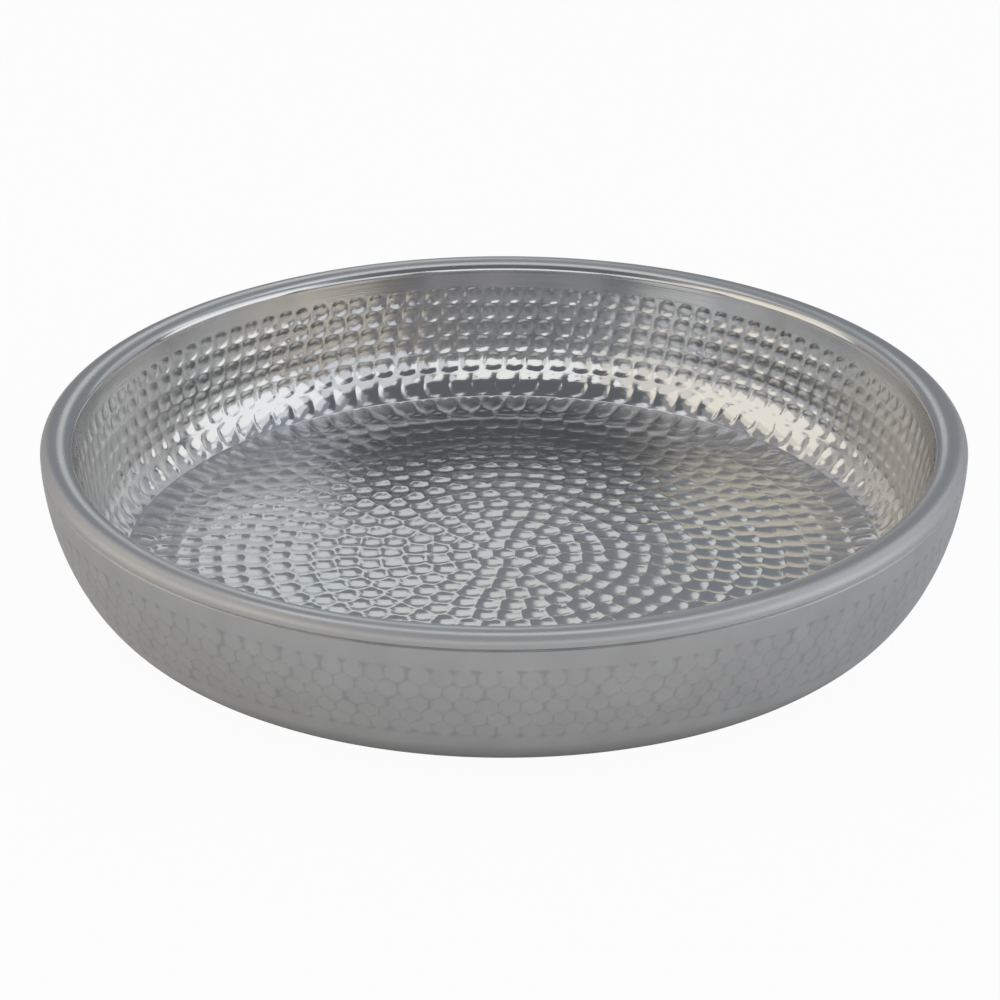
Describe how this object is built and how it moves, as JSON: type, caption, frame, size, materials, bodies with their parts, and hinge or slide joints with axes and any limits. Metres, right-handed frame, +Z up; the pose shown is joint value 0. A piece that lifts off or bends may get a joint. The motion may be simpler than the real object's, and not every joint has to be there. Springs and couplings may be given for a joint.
{
  "type": "seafood tray",
  "caption": "Round double-walled metal serving tray: polished hammered liner with a bull-nose lip rolled over a satin hammered outer shell, flat base.",
  "frame": {"origin": "centre of the base, on the plane that the tray stands on", "axes": "+Z up along the tray's axis; the tray is round, so X and Y are alike"},
  "size_m": [0.406, 0.406, 0.072],
  "materials": {
    "polished_steel": "mirror-polished, hammered with rows of round dimples",
    "satin_steel": "satin, with faint round hammer marks",
    "plain_steel": "plain turned"
  },
  "bodies": {
    "root": {"inner_bowl": "polished_steel", "outer_shell": "satin_steel", "vent_plug": "plain_steel"}
  },
  "joints": []
}
